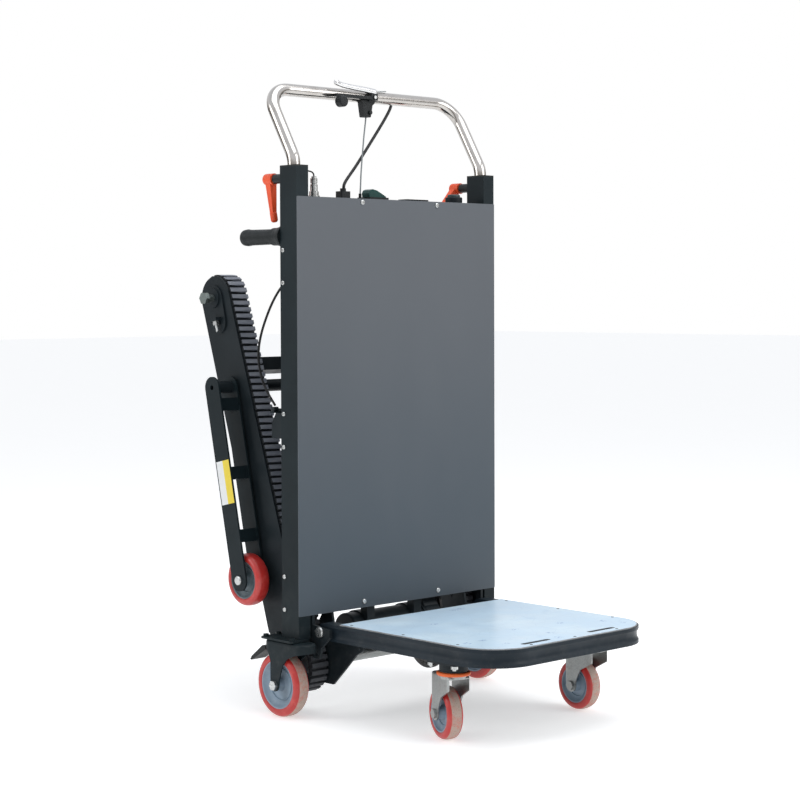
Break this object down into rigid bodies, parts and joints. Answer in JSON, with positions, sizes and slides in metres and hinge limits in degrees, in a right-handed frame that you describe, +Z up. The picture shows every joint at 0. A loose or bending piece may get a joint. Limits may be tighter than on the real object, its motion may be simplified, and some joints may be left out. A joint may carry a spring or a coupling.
{
  "type": "stair climbing trolley",
  "caption": "Upright electric hand truck with a folding load platform, swivel and braked casters, a telescopic handle and a pair of folding rubber crawler tracks behind it.",
  "frame": {"origin": "on the floor, in the middle of the overall width and of the overall length with the platform down and the tracks folded", "axes": "+Z up, +Y from the load platform towards the crawler tracks, +X to the right seen from the platform"},
  "size_m": [0.61, 0.8314, 1.2665],
  "materials": {
    "frame_black": "satin powder coat",
    "bracket_black": "satin powder coat",
    "panel_grey": "fine textured powder coat",
    "black_plastic": "moulded",
    "switch_green": "moulded rubber cover",
    "battery_case": "shrink wrap",
    "zinc_steel": "zinc plated",
    "chrome_plate": "polished",
    "stainless": "polished tube",
    "chain_steel": "oiled",
    "cast_aluminium": "as cast",
    "cable_grey": "extruded jacket",
    "cable_black": "extruded jacket",
    "grip_rubber": "soft matt",
    "belt_rubber": "matt with dusty lug tops",
    "lever_orange": "moulded",
    "button_grey": "moulded",
    "wheel_red": "cast polyurethane on a grey nylon hub",
    "deck_sheet": "steel sheet under clear blue film",
    "guide_plastic": "low friction nylon"
  },
  "bodies": {
    "root": {"upright_frame": "frame_black", "frame_brackets": "bracket_black", "upright_caps": "black_plastic", "front_panel": "panel_grey", "cover_screws": "zinc_steel", "top_plate": "panel_grey", "charge_socket": "chrome_plate", "cable_entries": "black_plastic", "switch_bezel": "black_plastic", "battery_gauge": "black_plastic", "rear_housing": "panel_grey", "battery_pack": "battery_case", "motor_controller": "cast_aluminium", "brake_cable": "cable_grey", "switch_cable": "cable_black", "side_cable": "cable_black", "clamp_bosses": "black_plastic", "rear_grips": "grip_rubber", "rear_forks": "frame_black", "rear_axles": "zinc_steel", "hinge_pins": "zinc_steel", "drive_motor": "cast_aluminium", "gearbox": "bracket_black", "chain": "chain_steel", "shaft_bearings": "chain_steel"},
    "rocker": {"direction_rocker": "switch_green"},
    "button": {"power_button": "button_grey"},
    "handle": {"handle_tube": "stainless", "lever_perch": "black_plastic", "lock_knob": "black_plastic"},
    "lever": {"brake_lever": "chrome_plate"},
    "clamp_left": {"clamp_lever_left": "lever_orange"},
    "clamp_right": {"clamp_lever_right": "lever_orange"},
    "rear_wheel_left_body": {"rear_wheel_left": "wheel_red"},
    "rear_wheel_right_body": {"rear_wheel_right": "wheel_red"},
    "pedal_left": {"brake_pedal_left": "black_plastic"},
    "pedal_right": {"brake_pedal_right": "black_plastic"},
    "platform": {"platform_frame": "frame_black", "platform_deck": "deck_sheet", "front_caster_plates": "zinc_steel"},
    "swivel_left": {"front_fork_left": "zinc_steel"},
    "swivel_right": {"front_fork_right": "zinc_steel"},
    "front_wheel_left_body": {"front_wheel_left": "wheel_red"},
    "front_wheel_right_body": {"front_wheel_right": "wheel_red"},
    "gear_output": {"output_sprocket": "chain_steel"},
    "axle_drive": {"drive_shaft": "zinc_steel", "drive_pulleys": "cast_aluminium", "drive_sprocket": "chain_steel"},
    "track": {"track_frame": "bracket_black", "track_belts": "belt_rubber", "belt_guides": "guide_plastic", "idler_bolts": "zinc_steel", "belt_tensioners": "bracket_black"},
    "idler_pair": {"idlers": "guide_plastic"},
    "arms": {"support_arms": "frame_black", "arm_cross_shaft": "bracket_black"},
    "arm_wheel_left_body": {"arm_wheel_left": "wheel_red"},
    "arm_wheel_right_body": {"arm_wheel_right": "wheel_red"},
    "struts": {"strut_cylinders": "bracket_black"},
    "strut_rod_pair": {"strut_rods": "zinc_steel"}
  },
  "joints": [
    {"name": "handle_slide", "type": "slide", "parent": "root", "child": "handle", "axis": [0, 0, 1], "range_m": [0, 0.3], "deforming": ["brake_cable", "switch_cable"]},
    {"name": "brake_lever_pull", "type": "hinge", "parent": "handle", "child": "lever", "pos_m": [0.012, 0.1598, 1.25], "axis": [0, -1, 0], "range_deg": [0, 5]},
    {"name": "clamp_left_turn", "type": "hinge", "parent": "root", "child": "clamp_left", "pos_m": [-0.26, 0.1663, 1.0585], "axis": [0, 1, 0], "range_deg": [-25, 110]},
    {"name": "clamp_right_turn", "type": "hinge", "parent": "root", "child": "clamp_right", "pos_m": [0.26, 0.1663, 1.0585], "axis": [0, 1, 0], "range_deg": [-60, 45]},
    {"name": "rocker_tilt", "type": "hinge", "parent": "root", "child": "rocker", "pos_m": [-0.042, 0.1003, 1.029], "axis": [0, 1, 0], "range_deg": [-6, 6]},
    {"name": "button_press", "type": "slide", "parent": "root", "child": "button", "axis": [0, 0, -1], "range_m": [0, 0.003]},
    {"name": "rear_wheel_left_spin", "type": "hinge", "parent": "root", "child": "rear_wheel_left_body", "pos_m": [-0.273, 0.1193, 0.064], "axis": [1, 0, 0], "continuous": true},
    {"name": "rear_wheel_right_spin", "type": "hinge", "parent": "root", "child": "rear_wheel_right_body", "pos_m": [0.273, 0.1193, 0.064], "axis": [1, 0, 0], "continuous": true},
    {"name": "pedal_left_press", "type": "hinge", "parent": "root", "child": "pedal_left", "pos_m": [-0.273, 0.1533, 0.133], "axis": [-1, 0, 0], "range_deg": [0, 10]},
    {"name": "pedal_right_press", "type": "hinge", "parent": "root", "child": "pedal_right", "pos_m": [0.273, 0.1533, 0.133], "axis": [-1, 0, 0], "range_deg": [0, 10]},
    {"name": "platform_fold", "type": "hinge", "parent": "root", "child": "platform", "pos_m": [0, 0.0473, 0.171], "axis": [-1, 0, 0], "range_deg": [0, 85]},
    {"name": "swivel_left_turn", "type": "hinge", "parent": "platform", "child": "swivel_left", "pos_m": [-0.193, -0.2757, 0.131], "axis": [0, 0, 1], "continuous": true},
    {"name": "swivel_right_turn", "type": "hinge", "parent": "platform", "child": "swivel_right", "pos_m": [0.193, -0.2757, 0.131], "axis": [0, 0, 1], "continuous": true},
    {"name": "front_wheel_left_spin", "type": "hinge", "parent": "swivel_left", "child": "front_wheel_left_body", "pos_m": [-0.18137, -0.24375, 0.05], "axis": [0.9397, -0.342, 0], "continuous": true},
    {"name": "front_wheel_right_spin", "type": "hinge", "parent": "swivel_right", "child": "front_wheel_right_body", "pos_m": [0.19596, -0.24183, 0.05], "axis": [0.9962, -0.0872, 0], "continuous": true},
    {"name": "drive_spin", "type": "hinge", "parent": "root", "child": "axle_drive", "pos_m": [0, 0.1273, 0.095], "axis": [1, 0, 0], "continuous": true},
    {"name": "gear_output_spin", "type": "hinge", "parent": "root", "child": "gear_output", "pos_m": [0.131, 0.1093, 0.18], "axis": [1, 0, 0], "continuous": true},
    {"name": "track_fold", "type": "hinge", "parent": "root", "child": "track", "pos_m": [0, 0.1273, 0.095], "axis": [-1, 0, 0], "range_deg": [0, 71.78]},
    {"name": "idler_spin", "type": "hinge", "parent": "track", "child": "idler_pair", "pos_m": [0, 0.3673, 0.824], "axis": [1, 0, 0], "continuous": true},
    {"name": "arm_swing", "type": "hinge", "parent": "track", "child": "arms", "pos_m": [0, 0.30773, 0.64306], "axis": [1, 0, 0], "range_deg": [-6, 12]},
    {"name": "arm_wheel_left_spin", "type": "hinge", "parent": "arms", "child": "arm_wheel_left_body", "pos_m": [-0.275, 0.22356, 0.26021], "axis": [1, 0, 0], "continuous": true},
    {"name": "arm_wheel_right_spin", "type": "hinge", "parent": "arms", "child": "arm_wheel_right_body", "pos_m": [0.275, 0.22356, 0.26021], "axis": [1, 0, 0], "continuous": true},
    {"name": "strut_swing", "type": "hinge", "parent": "root", "child": "struts", "pos_m": [0, 0.1443, 0.565], "axis": [1, 0, 0], "range_deg": [0, 10.59]},
    {"name": "strut_stroke", "type": "slide", "parent": "struts", "child": "strut_rod_pair", "axis": [0, 0.0912, -0.9958], "range_m": [0, 0.15978]}
  ],
  "couplings": [
    {"joint": "gear_output_spin", "follows": "drive_spin", "ratio": 2.9091},
    {"joint": "idler_spin", "follows": "drive_spin", "ratio": 1.1892},
    {"joint": "strut_swing", "follows": "track_fold", "ratio": 0.14725},
    {"joint": "strut_stroke", "follows": "track_fold", "m_per_rad": 0.12746}
  ]
}
